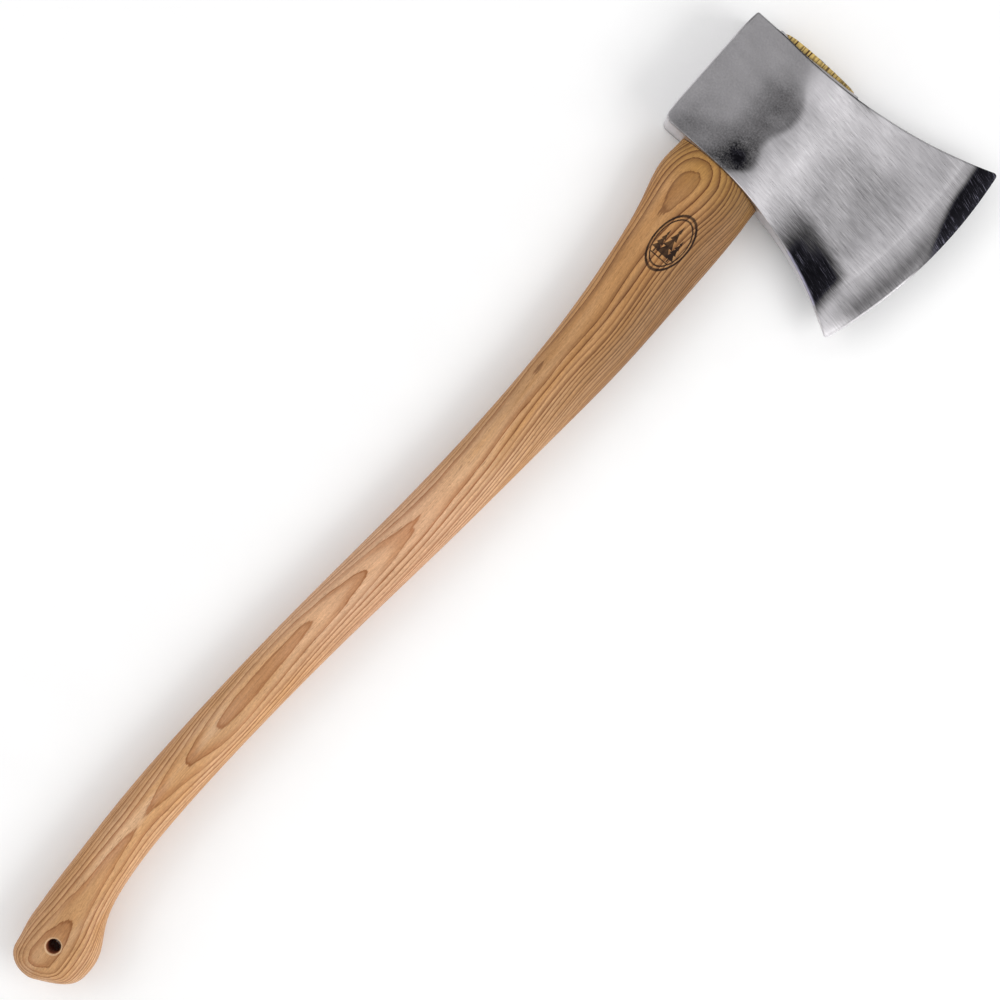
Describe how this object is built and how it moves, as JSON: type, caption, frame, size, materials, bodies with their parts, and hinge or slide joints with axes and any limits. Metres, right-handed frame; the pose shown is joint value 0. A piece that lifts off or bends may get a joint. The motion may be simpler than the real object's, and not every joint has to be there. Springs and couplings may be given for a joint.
{
  "type": "felling axe",
  "caption": "Felling axe with a flared single-bit steel head, a raised collar round the eye and a curved wooden handle with a swollen, drilled knob.",
  "frame": {"origin": "under the middle of the whole axe, on the level of the cheek that it lies on", "axes": "the axe lies on its cheek: +X runs up the handle from knob to head, -Y is the way the cutting edge faces, +Y the way the poll faces, +Z comes out of the upper cheek"},
  "size_m": [0.7202, 0.1706, 0.031],
  "materials": {
    "head_steel": "ground forged steel, satin",
    "handle_wood": "oiled hickory",
    "wedge_wood": "bare beech",
    "ring_steel": "mill finish"
  },
  "bodies": {
    "root": {"axe_head": "head_steel", "handle": "handle_wood", "wooden_wedge": "wedge_wood", "ring_wedge": "ring_steel"}
  },
  "joints": []
}
